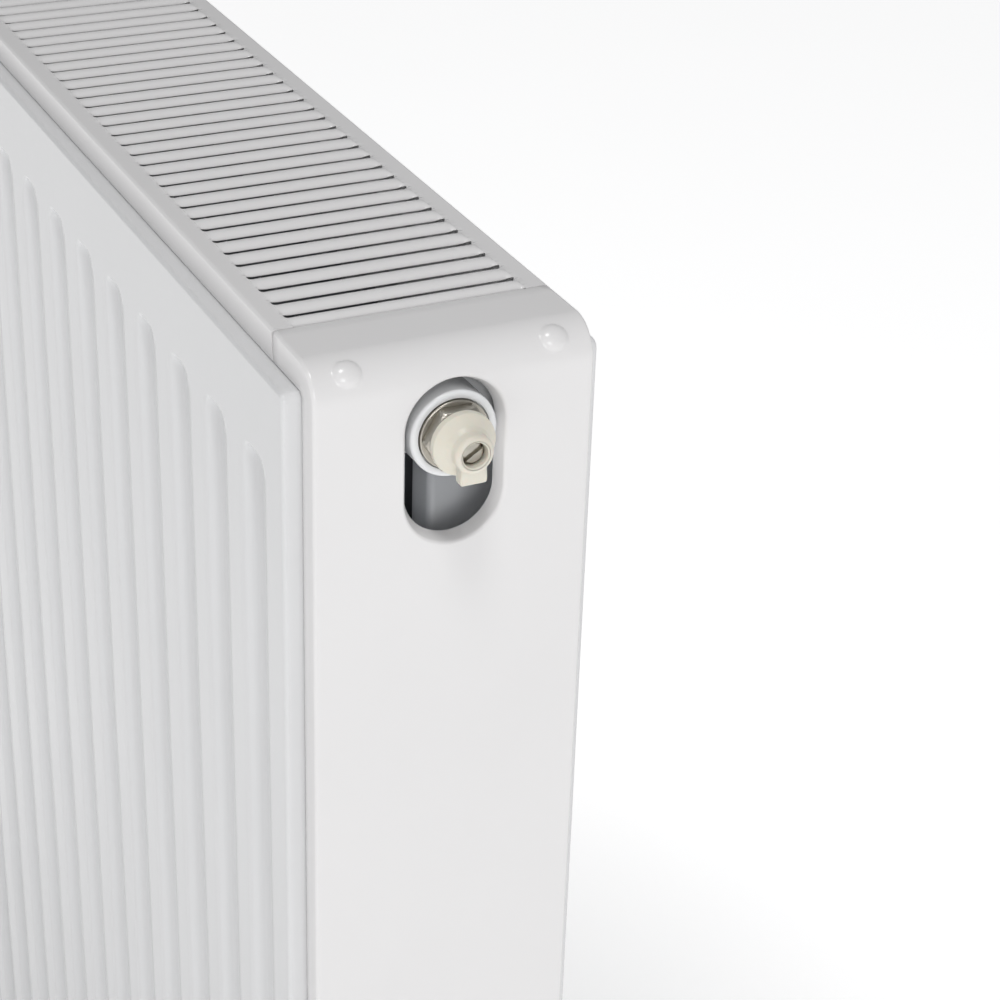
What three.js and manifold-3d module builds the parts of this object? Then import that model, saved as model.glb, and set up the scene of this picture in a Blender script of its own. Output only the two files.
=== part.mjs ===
// Double-panel, double-convector steel radiator with a manual air vent in its top end tapping.
// Millimetres. +X runs along the radiator to the vent end, -Y faces the room, +Y the wall, +Z is up.
// The two panels stand on z = 0, and the origin is under the middle of the whole box.
import * as THREE from 'three';
import { mergeVertices } from 'three/addons/utils/BufferGeometryUtils.js';
import Module from 'manifold-3d';

const wasm = await Module();
wasm.setup();

// ---------- driving dimensions ----------
const LENGTH = 600; // over both end covers
const HEIGHT = 600; // to the top of the grille
const CASING_DEPTH = 90; // over the skirts of the grille and the end covers
const TRAY_PROUD = 6; // each panel face stands this far out from the skirts
const LUG_STANDOFF = 8; // the wall side of a hanging lug, from the rear panel face
const FLUTE_PITCH = 100 / 3; // three flutes to each 100 mm of length
const FLUTES = 17;
const GAP = 0.3; // between pieces that are welded, clipped or screwed together

const VENT_REACH = 14; // the vent outlet, out from the end cover
const MID_X = -VENT_REACH / 2; // middle of the radiator's length
const MID_Y = -LUG_STANDOFF / 2; // middle plane between the two panels
const END_X = LENGTH / 2; // pieces are drawn about x = 0 and placed on MID_X
const CASING_FRONT = MID_Y - CASING_DEPTH / 2;
const CASING_BACK = MID_Y + CASING_DEPTH / 2;

// panel sheets
const SHEET = 1.2;
const FLANGE_INSET = 2; // welded rim, back from the outside of the end covers and grille
const RIM_CORNER_R = 10; // follows the rounded corner of the end covers
const TRAY_INSET_X = 9; // the pressed tray, in from the outside of the end covers
const TRAY_INSET_Z = 10;
const TRAY_CORNER_R = 6;
const TRAY_EDGE_R = 3;
const FLUTE_FLOOR = 10; // flat floor of a flute
const FLUTE_SLOPE = 4.2; // width of each sloping side
const FLUTE_INSET_Z = 37.5; // ends of the flutes, in from top and bottom
const OUTER_TRAY = 8.7; // outer sheet, from the back of its rim to its face
const OUTER_FLUTE = 5;
const INNER_TRAY = 4.5;
const INNER_FLUTE = 5.8; // deeper, so that the floors of the two sheets meet

// covers and grille
const COVER_SHEET = 1;
const SKIRT_TOP = 9.7; // height of the skirts along the top
const SKIRT_END = 8.5; // width of the skirts down the ends
const BEND_R = 1.8; // long outside bends
const COVER_TOP = 31.3; // flat top of an end cover, along X
const COVER_CORNER_R = 12;
const COVER_FOOT = 2; // the covers stop this far above the floor
const GRILLE_SLOTS = 52;
const SLOT_WIDTH = 3;
const SLOT_MARGIN = 6.7; // from the casing front and back to the ends of the slots
const FIRST_SLOT = 8.9; // from the end of the grille to the middle of its first slot

// tappings, all four at the same inset from top and bottom
const TAPPING_INSET = 28.2;
const TAPPING_TOP = HEIGHT - TAPPING_INSET;
const HOLE_WIDTH = 29; // clear width of the long holes in the end covers
const HOLE_HEIGHT = 51;
const HOLE_INSET = 11; // from the top or the bottom to the hole's nearer end
const HOLE_FLARE = 2.2;
const HOLE_RIM = 3.5; // depth of the rim pressed inwards
const BOSS_R = 14;
const BOSS_FACE = END_X - 1; // outer face of a tapping
const BOSS_ROOT = END_X - 26;
const TEE_X = END_X - 22; // middle of the cross pipe between the panels
const TEE_R = 13;
const TEE_BORE_R = 8;
const TAP_BORE_R = 10.6; // half-inch pipe thread, modelled plain
const TAP_BORE_DEPTH = 18;
const SEAT_R = 11.5; // counterbore for the plug's flange and seal
const SEAT_DEPTH = 2;

const PAINT = { color: 0xe6e6e8, roughness: 0.35, metalness: 0 };
const NICKEL = { color: 0xb9b3a6, roughness: 0.28, metalness: 1 };
const RUBBER = { color: 0x1c1c1e, roughness: 0.7, metalness: 0 };
const PLASTIC = { color: 0xe4e1d2, roughness: 0.45, metalness: 0 };

const part = new THREE.Group();

// ---------- solids ----------
// A closed geometry as a manifold solid.
function solid(geometry) {
  const bare = geometry.clone();
  bare.deleteAttribute('normal');
  bare.deleteAttribute('uv');
  const merged = mergeVertices(bare, 1e-5);
  const vertProperties = new Float32Array(merged.attributes.position.array);
  const triVerts = new Uint32Array(merged.index.array);
  return new wasm.Manifold(new wasm.Mesh({ numProp: 3, vertProperties, triVerts }));
}

// A manifold solid as a named mesh in the part.
function place(name, shape, look, turned = false) {
  const data = shape.getMesh();
  const geometry = new THREE.BufferGeometry();
  geometry.setAttribute('position', new THREE.BufferAttribute(data.vertProperties, 3));
  geometry.setIndex(new THREE.BufferAttribute(data.triVerts, 1));
  geometry.computeVertexNormals();
  const mesh = new THREE.Mesh(geometry, new THREE.MeshStandardMaterial({ ...look, flatShading: true }));
  mesh.name = name;
  mesh.position.x = MID_X;
  if (turned) {
    mesh.rotation.z = Math.PI;
    mesh.position.y = 2 * MID_Y;
  }
  part.add(mesh);
}

function box(x0, x1, y0, y1, z0, z1) {
  const geometry = new THREE.BoxGeometry(x1 - x0, y1 - y0, z1 - z0);
  geometry.translate((x0 + x1) / 2, (y0 + y1) / 2, (z0 + z1) / 2);
  return solid(geometry);
}

// An outline in (y, z) carried along X, in (x, z) carried along Y, or in (x, y) carried along Z.
// bevel = { size, depth, steps } narrows both ends; grow widens the middle instead of narrowing the ends.
function prism(shape, axis, from, to, bevel = null, curveSegments = 4) {
  const depth = to - from - (bevel ? 2 * bevel.depth : 0);
  const geometry = new THREE.ExtrudeGeometry(shape, {
    depth,
    curveSegments,
    bevelEnabled: bevel !== null,
    bevelThickness: bevel ? bevel.depth : 0,
    bevelSize: bevel ? bevel.size : 0,
    bevelOffset: bevel && !bevel.grow ? -bevel.size : 0,
    bevelSegments: bevel ? bevel.steps : 0,
  });
  if (bevel) geometry.translate(0, 0, bevel.depth);
  const unit = (x, y, z) => new THREE.Vector3(x, y, z);
  const turn = new THREE.Matrix4();
  if (axis === 'x') {
    turn.makeBasis(unit(0, 1, 0), unit(0, 0, 1), unit(1, 0, 0)).setPosition(from, 0, 0);
  } else if (axis === 'y') {
    turn.makeBasis(unit(1, 0, 0), unit(0, 0, 1), unit(0, -1, 0)).setPosition(0, to, 0);
  } else {
    turn.setPosition(0, 0, from);
  }
  return solid(geometry.applyMatrix4(turn));
}

function outline(points) {
  return new THREE.Shape(points.map(([u, v]) => new THREE.Vector2(u, v)));
}

function roundedRectangle(u0, u1, v0, v1, r) {
  const shape = new THREE.Shape();
  shape.moveTo(u0 + r, v0);
  shape.lineTo(u1 - r, v0);
  shape.absarc(u1 - r, v0 + r, r, -Math.PI / 2, 0);
  shape.lineTo(u1, v1 - r);
  shape.absarc(u1 - r, v1 - r, r, 0, Math.PI / 2);
  shape.lineTo(u0 + r, v1);
  shape.absarc(u0 + r, v1 - r, r, Math.PI / 2, Math.PI);
  shape.lineTo(u0, v0 + r);
  shape.absarc(u0 + r, v0 + r, r, Math.PI, 1.5 * Math.PI);
  return shape;
}

function rod(axis, r, from, to, u, v, sides = 32) {
  const geometry = new THREE.CylinderGeometry(r, r, to - from, sides);
  const middle = (from + to) / 2;
  if (axis === 'x') {
    geometry.rotateZ(-Math.PI / 2);
    geometry.translate(middle, u, v);
  } else {
    geometry.translate(u, middle, v);
  }
  return solid(geometry);
}

// A turned piece on the axis of a top tapping: points are [x, radius], with x growing on its outside.
function lathed(profile, sides = 32) {
  const points = profile.map(([x, r]) => new THREE.Vector2(r, x));
  const geometry = new THREE.LatheGeometry(points, sides);
  geometry.rotateZ(-Math.PI / 2);
  geometry.translate(0, MID_Y, TAPPING_TOP);
  return solid(geometry);
}

// A round seal: a ring of circular section on the same axis.
function sealRing(x, ringR, sectionR) {
  const steps = 6;
  const profile = [];
  for (let i = 0; i <= steps; i += 1) {
    const angle = (-2 * Math.PI * (i % steps)) / steps;
    profile.push([x + sectionR * Math.cos(angle), ringR + sectionR * Math.sin(angle)]);
  }
  return lathed(profile, 24);
}

// ---------- water panels ----------
// One pressed sheet, standing on its rim's back at y = 0 and pressed out towards -Y.
function pressedSheet(trayHeight, fluteDepth, waterPorts) {
  const trayX = END_X - TRAY_INSET_X;
  const behind = 12;
  const edge = (r) => ({ size: r, depth: r, steps: 2 });
  const tray = (inset) => prism(
    roundedRectangle(-trayX + inset, trayX - inset, TRAY_INSET_Z + inset,
      HEIGHT - TRAY_INSET_Z - inset, TRAY_CORNER_R - inset),
    'y', -trayHeight + inset, behind, edge(TRAY_EDGE_R - inset), 3);
  const slopeAngle = Math.atan2(fluteDepth, FLUTE_SLOPE);
  const fluteGrowth = (inset) => inset * (1 / Math.sin(slopeAngle) - 1 / Math.tan(slopeAngle));
  const flutes = (inset) => {
    const half = FLUTE_FLOOR / 2 + fluteGrowth(inset);
    const bottom = FLUTE_INSET_Z + FLUTE_SLOPE - fluteGrowth(inset);
    const slope = { size: FLUTE_SLOPE, depth: fluteDepth, steps: 1, grow: true };
    const shapes = [];
    for (let i = 0; i < FLUTES; i += 1) {
      const x = (i - (FLUTES - 1) / 2) * FLUTE_PITCH;
      shapes.push(roundedRectangle(x - half, x + half, bottom, HEIGHT - bottom, half * 0.8));
    }
    const floor = -trayHeight + fluteDepth + inset;
    return prism(shapes, 'y', floor - 2 * fluteDepth - 1, floor, slope, 1);
  };
  const rimX = END_X - FLANGE_INSET;
  const rimEdge = roundedRectangle(-rimX, rimX, 0, HEIGHT - FLANGE_INSET, RIM_CORNER_R);
  const rim = prism(rimEdge, 'y', -SHEET, 0, null, 3);
  const inFront = box(-END_X, END_X, -behind, 0, 0, HEIGHT);
  const backOfFlutes = flutes(SHEET);
  let sheet = tray(0).intersect(inFront.add(backOfFlutes)).add(rim);
  sheet = sheet.subtract(flutes(0)).subtract(tray(SHEET).subtract(backOfFlutes));
  if (waterPorts) {
    for (const x of [-TEE_X, TEE_X]) {
      for (const z of [TAPPING_INSET, TAPPING_TOP]) {
        sheet = sheet.subtract(rod('y', TEE_BORE_R, -behind, behind, x, z, 12));
      }
    }
  }
  return sheet;
}

const PANEL_FACE = CASING_FRONT - TRAY_PROUD;
const OUTER_RIM_BACK = PANEL_FACE + OUTER_TRAY;
const INNER_RIM_FRONT = OUTER_RIM_BACK + GAP;
const INNER_FACE = INNER_RIM_FRONT + INNER_TRAY;

function waterPanels() {
  const outer = pressedSheet(OUTER_TRAY, OUTER_FLUTE, false).translate([0, OUTER_RIM_BACK, 0]);
  const inner = pressedSheet(INNER_TRAY, INNER_FLUTE, true)
    .rotate([0, 0, 180]).translate([0, INNER_RIM_FRONT, 0]);
  for (const [side, turnedRound] of [['front', false], ['rear', true]]) {
    place(`${side}_panel_outer_sheet`, outer, PAINT, turnedRound);
    place(`${side}_panel_inner_sheet`, inner, PAINT, turnedRound);
  }
}

// ---------- convectors ----------
const FIN_SHEET = 0.6;
const FIN_DEPTH = 33.5;
const FIN_BOTTOM = 45;
const FIN_TOP = 553;
const FIN_ROOT = 12; // flat that is welded to a water channel
const FIN_CREST = 14; // flat on the side of the middle plane

// A corrugated sheet: one crest over each flute, one root on each water channel between.
function convector() {
  const root = INNER_FACE + GAP;
  const crest = root + FIN_DEPTH;
  const line = [];
  for (let i = 0; i < FLUTES; i += 1) {
    const x = (i - (FLUTES - 1) / 2) * FLUTE_PITCH;
    const rootStart = x + (FLUTE_PITCH - FIN_ROOT) / 2;
    line.push([x - FIN_CREST / 2, crest], [x + FIN_CREST / 2, crest]);
    if (i < FLUTES - 1) line.push([rootStart, root], [rootStart + FIN_ROOT, root]);
  }
  // The second face is the first one moved back and narrowed at each bend, so the sheet keeps its gauge.
  const run = (FLUTE_PITCH - FIN_CREST - FIN_ROOT) / 2;
  const shift = FIN_SHEET * (Math.hypot(run, FIN_DEPTH) - run) / FIN_DEPTH;
  const back = line.map(([x, y], i) => {
    const end = i === 0 || i === line.length - 1;
    const rising = i % 4 === 0 || i % 4 === 3 ? 1 : -1;
    return [end ? x : x + rising * shift, y - FIN_SHEET];
  });
  return prism(outline([...back, ...line.reverse()]), 'z', FIN_BOTTOM, FIN_TOP)
    .translate([0, FIN_SHEET, 0]);
}

function convectors() {
  const sheet = convector();
  place('front_convector', sheet, PAINT);
  place('rear_convector', sheet, PAINT, true);
}

// ---------- tapping tees ----------
// Joins the two panels across the middle and carries the threaded tapping in the end.
function tappingTee(z, hasSeat) {
  const crossStart = INNER_FACE + GAP;
  const crossEnd = 2 * MID_Y - crossStart;
  let tee = rod('y', TEE_R, crossStart, crossEnd, TEE_X, z, 20);
  tee = tee.add(rod('x', BOSS_R, BOSS_ROOT, BOSS_FACE, MID_Y, z, 32));
  tee = tee.subtract(rod('y', TEE_BORE_R, crossStart - 1, crossEnd + 1, TEE_X, z, 12));
  tee = tee.subtract(rod('x', TEE_BORE_R, TEE_X, BOSS_FACE, MID_Y, z, 12));
  tee = tee.subtract(rod('x', TAP_BORE_R, BOSS_FACE - TAP_BORE_DEPTH, BOSS_FACE + 1, MID_Y, z, 32));
  if (hasSeat) {
    tee = tee.subtract(rod('x', SEAT_R, BOSS_FACE - SEAT_DEPTH, BOSS_FACE + 1, MID_Y, z, 32));
  }
  return tee;
}

function tappingTees() {
  for (const [level, z] of [['top', TAPPING_TOP], ['bottom', TAPPING_INSET]]) {
    const tee = tappingTee(z, level === 'top');
    place(`${level}_right_tapping_tee`, tee, PAINT);
    place(`${level}_left_tapping_tee`, tee, PAINT, true);
  }
}

// ---------- hanging lugs ----------
const LUG_SHEET = 1.5;
const LUG_HEIGHT = 50;
const LUG_FLUTE = 7; // lugs straddle the seventh flute each side of the middle
const LUG_LOW = 70;
const LUG_HIGH = 480;

// A bridge strap of hat section, spot welded to the rear panel beside a flute.
function hangingLug(x, z) {
  const foot = 2 * MID_Y - PANEL_FACE + GAP;
  const web = foot - GAP + LUG_STANDOFF;
  const half = [[22, foot], [22, foot + LUG_SHEET], [13.2, foot + LUG_SHEET], [11, web]];
  const inside = [[9.6, web - LUG_SHEET], [11.8, foot]];
  const right = [...half, ...half.slice().reverse().map(([u, v]) => [-u, v])];
  const under = [...inside.slice().reverse().map(([u, v]) => [-u, v]), ...inside];
  const points = [...right, ...under].map(([u, v]) => [u + x, v]);
  return prism(outline(points), 'z', z, z + LUG_HEIGHT);
}

function hangingLugs() {
  for (const [side, sign] of [['right', 1], ['left', -1]]) {
    const x = sign * LUG_FLUTE * FLUTE_PITCH;
    place(`upper_${side}_hanging_lug`, hangingLug(x, LUG_HIGH), PAINT);
    place(`lower_${side}_hanging_lug`, hangingLug(x, LUG_LOW), PAINT);
  }
}

// ---------- top grille ----------
function topGrille() {
  const half = END_X - COVER_TOP - GAP;
  const skirtFoot = HEIGHT - SKIRT_TOP;
  const channel = (inset) => roundedRectangle(CASING_FRONT + inset, CASING_BACK - inset,
    skirtFoot - 2 * BEND_R, HEIGHT - inset, BEND_R - inset / 2);
  let grille = prism(channel(0), 'x', -half, half);
  grille = grille.subtract(prism(channel(COVER_SHEET), 'x', -half - 1, half + 1));
  grille = grille.subtract(box(-END_X, END_X, CASING_FRONT - 1, CASING_BACK + 1, 0, skirtFoot));
  const slots = [];
  const firstSlot = -half + FIRST_SLOT;
  const pitch = (-2 * firstSlot) / (GRILLE_SLOTS - 1);
  for (let i = 0; i < GRILLE_SLOTS; i += 1) {
    const x = firstSlot + i * pitch;
    const u = SLOT_WIDTH / 2;
    const v0 = CASING_FRONT + SLOT_MARGIN;
    const v1 = CASING_BACK - SLOT_MARGIN;
    slots.push(outline([[x - u, v0], [x + u, v0], [x + u, v1], [x - u, v1]]));
  }
  grille = grille.subtract(prism(slots, 'z', HEIGHT - 2 * COVER_SHEET, HEIGHT + 1));
  place('top_grille', grille, PAINT);
}

// ---------- end covers ----------
// The long hole's outline, grown all round by the given amount.
function longHole(grow, flip) {
  const low = HEIGHT - HOLE_INSET - HOLE_HEIGHT - grow;
  const high = HEIGHT - HOLE_INSET + grow;
  const half = HOLE_WIDTH / 2 + grow;
  const [z0, z1] = flip ? [HEIGHT - high, HEIGHT - low] : [low, high];
  return roundedRectangle(MID_Y - half, MID_Y + half, z0, z1, half);
}

function flaredHole(grow, depth, flip) {
  const flare = { size: HOLE_FLARE, depth: HOLE_FLARE, steps: 1, grow: true };
  const start = END_X - HOLE_FLARE;
  const straight = prism(longHole(grow, flip), 'x', END_X - depth, END_X + 1, null, 5);
  return straight.add(prism(longHole(grow, flip), 'x', start, start + 2 * HOLE_FLARE + 1, flare, 5));
}

const BELOW = -20; // under the floor line, where the cover's form is cut off

function coverForm(inset) {
  const far = COVER_TOP + 20;
  const shape = new THREE.Shape();
  const r = COVER_CORNER_R - inset;
  shape.moveTo(END_X - far, BELOW);
  shape.lineTo(END_X - inset, BELOW);
  shape.lineTo(END_X - inset, HEIGHT - COVER_CORNER_R);
  shape.absarc(END_X - COVER_CORNER_R, HEIGHT - COVER_CORNER_R, r, 0, Math.PI / 2);
  shape.lineTo(END_X - far, HEIGHT - inset);
  const bend = BEND_R - inset / 2;
  const fold = { size: bend, depth: bend, steps: 2 };
  return prism(shape, 'y', CASING_FRONT + inset, CASING_BACK - inset, fold, 6);
}

const DIMPLE_R = 4.6;
const DIMPLE_REACH = 8.6; // from the middle of the corner bend
const DIMPLE_ASIDE = 33;

// Two small stiffening dimples pressed out of the top corner.
function dimples(r) {
  const reach = DIMPLE_REACH * Math.SQRT1_2;
  const x = END_X - COVER_CORNER_R + reach;
  const z = HEIGHT - COVER_CORNER_R + reach;
  const ball = (y) => solid(new THREE.SphereGeometry(r, 12, 8).translate(x, y, z));
  return ball(MID_Y - DIMPLE_ASIDE).add(ball(MID_Y + DIMPLE_ASIDE));
}

function endCovers() {
  const inside = coverForm(COVER_SHEET);
  let cover = coverForm(0).add(dimples(DIMPLE_R)).subtract(inside);
  cover = cover.subtract(dimples(DIMPLE_R - COVER_SHEET));
  const y0 = CASING_FRONT - 1;
  const y1 = CASING_BACK + 1;
  cover = cover.subtract(box(0, END_X - COVER_TOP, y0, y1, BELOW, HEIGHT + 1));
  cover = cover.subtract(box(0, END_X + 1, y0, y1, BELOW, COVER_FOOT));
  cover = cover.subtract(box(0, END_X - SKIRT_END, y0, y1, BELOW, HEIGHT - SKIRT_TOP));
  const outside = box(0, END_X - COVER_SHEET / 2, y0, y1, 0, HEIGHT);
  for (const flip of [false, true]) {
    const rim = flaredHole(COVER_SHEET, HOLE_RIM, flip).intersect(outside);
    cover = cover.add(rim).subtract(flaredHole(0, HOLE_RIM + 1, flip));
  }
  place('right_end_cover', cover, PAINT);
  place('left_end_cover', cover, PAINT, true);
}

// ---------- plugs, vent and seals in the top tappings ----------
const FLANGE_R = 11.2;
const FLANGE_IN = BOSS_FACE - SEAT_DEPTH + GAP;
const FLANGE_OUT = BOSS_FACE + 0.4;
const SHANK_R = 10.3;
const SHANK_END = BOSS_FACE - 15;
const GROOVE_R = 8.3;
const GROOVE_END = FLANGE_IN - 2.6;
const HEX_ACROSS_FLATS = 19;
const HEX_FACE = FLANGE_OUT + 4;
const NECK_R = 5.2;
const NECK_END = HEX_FACE + 7.2;
const STEM_BORE_R = 3.7;
const SEAT_BORE_R = 1.6; // the small port that the screw's point closes
const OUTLET_BASE = HEX_FACE + GAP;
const OUTLET_R = 10;
const OUTLET_NOSE_R = 5.85;
const OUTLET_TIP = END_X + VENT_REACH;
const SPOUT_REACH = 12;
const SPOUT_HALF = 4.6;
const SCREW_R = 3.4;
const SCREW_FACE = OUTLET_TIP - 2;
const RECESS_R = 4.3; // open middle of the outlet, for the key
const SEAL_X = SCREW_FACE - 6;
const SEAL_GROOVE = 0.9; // half the width of the screw's waist
const WAIST_R = 2.1;
const SCREW_SEAL_R = 2.92;
const SCREW_SEAL_SECTION = 0.52;
const PLUG_SEAL_R = 9.45;
const PLUG_SEAL_SECTION = 0.85;
const KEY_BOSS_R = 8;
const KEY_FLATS = 12;
const KEY_DEPTH = 6;

// A hexagon across flats, as an outline in (y, z) round the tapping's axis.
function hexagon(acrossFlats) {
  const corner = acrossFlats / Math.sqrt(3);
  const points = [];
  for (let i = 0; i < 6; i += 1) {
    const angle = (i * Math.PI) / 3 + Math.PI / 6;
    points.push([MID_Y + corner * Math.cos(angle), TAPPING_TOP + corner * Math.sin(angle)]);
  }
  return outline(points);
}

// Threaded shank with its seal groove and flange, drawn for the right-hand end.
function plugBody() {
  return lathed([
    [SHANK_END, 0], [SHANK_END, SHANK_R], [GROOVE_END, SHANK_R], [GROOVE_END, GROOVE_R],
    [FLANGE_IN, GROOVE_R], [FLANGE_IN, FLANGE_R], [FLANGE_OUT, FLANGE_R], [FLANGE_OUT, 0],
  ]);
}

function plugSeal() {
  return sealRing((GROOVE_END + FLANGE_IN) / 2, PLUG_SEAL_R, PLUG_SEAL_SECTION);
}

function airVent() {
  let body = plugBody().add(prism(hexagon(HEX_ACROSS_FLATS), 'x', FLANGE_OUT - 1, HEX_FACE));
  body = body.add(rod('x', NECK_R, HEX_FACE - 1, NECK_END, MID_Y, TAPPING_TOP, 32));
  body = body.subtract(rod('x', STEM_BORE_R, SHANK_END + 8, NECK_END + 1, MID_Y, TAPPING_TOP, 32));
  body = body.subtract(rod('x', SEAT_BORE_R, SHANK_END - 1, SHANK_END + 9, MID_Y, TAPPING_TOP, 24));
  place('vent_plug', body, NICKEL);

  const lip = NECK_END + GAP;
  let outlet = lathed([
    [OUTLET_BASE, NECK_R + GAP], [OUTLET_BASE, OUTLET_R], [OUTLET_BASE + 2.4, OUTLET_R],
    [OUTLET_BASE + 5, 7], [OUTLET_BASE + 6.5, OUTLET_NOSE_R], [OUTLET_TIP - 0.6, OUTLET_NOSE_R],
    [OUTLET_TIP, OUTLET_NOSE_R - 0.6], [OUTLET_TIP, RECESS_R], [lip, RECESS_R], [lip, NECK_R + GAP],
    [OUTLET_BASE, NECK_R + GAP],
  ]);
  const spout = box(OUTLET_BASE + 2.4, OUTLET_TIP - 0.4, MID_Y - SPOUT_HALF, MID_Y + SPOUT_HALF,
    TAPPING_TOP - SPOUT_REACH, TAPPING_TOP);
  const bore = rod('x', NECK_R + GAP, OUTLET_BASE - 1, lip, MID_Y, TAPPING_TOP, 32)
    .add(rod('x', RECESS_R, OUTLET_BASE, OUTLET_TIP + 1, MID_Y, TAPPING_TOP, 32));
  outlet = outlet.add(spout).subtract(bore);
  place('vent_outlet', outlet, PLASTIC);

  const screw = lathed([
    [SHANK_END + 6.5, 0], [SHANK_END + 9, SEAT_BORE_R], [SHANK_END + 9, SCREW_R - 0.4],
    [SEAL_X - SEAL_GROOVE, SCREW_R - 0.4], [SEAL_X - SEAL_GROOVE, WAIST_R],
    [SEAL_X + SEAL_GROOVE, WAIST_R], [SEAL_X + SEAL_GROOVE, SCREW_R],
    [SCREW_FACE, SCREW_R], [SCREW_FACE, 0],
  ]);
  const slot = box(SCREW_FACE - 1.4, SCREW_FACE + 1, MID_Y - 4, MID_Y + 4,
    TAPPING_TOP - 0.5, TAPPING_TOP + 0.5);
  place('bleed_screw', screw.subtract(slot), NICKEL);
  place('bleed_screw_seal', sealRing(SEAL_X, SCREW_SEAL_R, SCREW_SEAL_SECTION), RUBBER);
  place('vent_plug_seal', plugSeal(), RUBBER);
}

function blankingPlug() {
  let body = plugBody();
  body = body.add(rod('x', KEY_BOSS_R, FLANGE_OUT - 1, FLANGE_OUT + 0.5, MID_Y, TAPPING_TOP, 32));
  body = body.subtract(prism(hexagon(KEY_FLATS), 'x', FLANGE_OUT - KEY_DEPTH, FLANGE_OUT + 2));
  place('blanking_plug', body, NICKEL, true);
  place('blanking_plug_seal', plugSeal(), RUBBER, true);
}

waterPanels();
convectors();
tappingTees();
hangingLugs();
topGrille();
endCovers();
airVent();
blankingPlug();

export default part;
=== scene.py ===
import math

import bmesh
import bpy
import numpy as np
from mathutils import Matrix, Vector


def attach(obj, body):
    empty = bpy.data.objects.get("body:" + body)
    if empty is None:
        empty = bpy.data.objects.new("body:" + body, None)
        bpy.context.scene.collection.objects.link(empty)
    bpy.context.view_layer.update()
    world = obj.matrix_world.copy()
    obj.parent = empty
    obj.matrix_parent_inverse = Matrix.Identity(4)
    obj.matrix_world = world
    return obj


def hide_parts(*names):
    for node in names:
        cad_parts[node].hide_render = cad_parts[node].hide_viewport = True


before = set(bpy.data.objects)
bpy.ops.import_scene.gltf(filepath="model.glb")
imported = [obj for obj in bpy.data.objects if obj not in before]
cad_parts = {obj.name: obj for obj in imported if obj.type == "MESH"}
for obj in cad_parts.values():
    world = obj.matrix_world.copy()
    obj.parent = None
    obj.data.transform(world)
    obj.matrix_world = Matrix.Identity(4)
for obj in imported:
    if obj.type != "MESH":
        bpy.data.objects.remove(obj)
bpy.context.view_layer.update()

# ---------- water panels: four pressed sheets ----------
# Each panel is two sheets of 1.2 mm steel, pressed with upright flutes and seam-welded round a flat rim.
# They carry a baked white powder coat, set darker than the casing's same white as painted shade. The rear panel is the
# front one turned half round.
MM = 0.001
SAME_PLACE = 1.37e-6
MIDDLE_X, MIDDLE_Y = -7.0, -4.0
FLUTE_PITCH, FLUTES = 100 / 3, 17
FLUTE_FLOOR, FLUTE_EDGE, FLUTE_SQUARE = 5.0, 9.2, 3.0
FLUTE_LOW, FLUTE_HIGH = 37.5, 562.5
TRAY_HALF, TRAY_LOW, TRAY_HIGH = 291.0, 10.0, 590.0
TRAY_CORNER, TRAY_LEAN = 3.2, 0.25
FACE_INSET = 6.0
RIM_ASIDE, RIM_BELOW, RIM_ABOVE, RIM_CORNER = 7, 10, 8, 10
PANEL_SHEET = 1.2
ARC_LEAD = 0.12
PEEL_HEIGHT = 0.000012
SHADED_PANEL_TINT = (0.76, 0.762, 0.768)


def rounded(corners, steps=5):
    """Rounds the corners (x, y, radius) of a line.

    With directions a into and b out of a corner and w the turn between them, its arc starts
    radius * tan(|w| / 2) before the corner and turns by w round the point radius to the side.
    A point a little before and after each arc keeps the flats flat.
    """
    places = np.array([corner[:2] for corner in corners], float)
    line = [places[:1]]
    for before, here, after, (_, _, radius) in zip(places, places[1:], places[2:], corners[1:]):
        into = (here - before) / np.linalg.norm(here - before)
        out = (after - here) / np.linalg.norm(after - here)
        turn = math.atan2(into[0] * out[1] - into[1] * out[0], into @ out)
        if radius == 0 or abs(turn) < 1e-6:
            line.append(here[None])
            continue
        start = here - into * radius * math.tan(abs(turn) / 2)
        spoke = np.array([into[1], -into[0]]) * radius * math.copysign(1, turn)
        angle = np.linspace(0, turn, steps + 1)[:, None]
        crossed = np.array([-spoke[1], spoke[0]])
        arc = start - spoke + spoke * np.cos(angle) + crossed * np.sin(angle)
        line += [start[None] - into * radius * ARC_LEAD, arc, arc[-1:] + out * radius * ARC_LEAD]
    line.append(places[-1:])
    return np.vstack(line)


def smooth_step(t):
    """Rises from 0 to 1 as 3 t^2 - 2 t^3."""
    t = np.clip(t, 0, 1)
    return t * t * (3 - 2 * t)


def turned_round(grid):
    """Turns a grid half round the upright line through the radiator's middle."""
    return np.array([2 * MIDDLE_X, 2 * MIDDLE_Y, 0]) + grid * np.array([-1, -1, 1])


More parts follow.
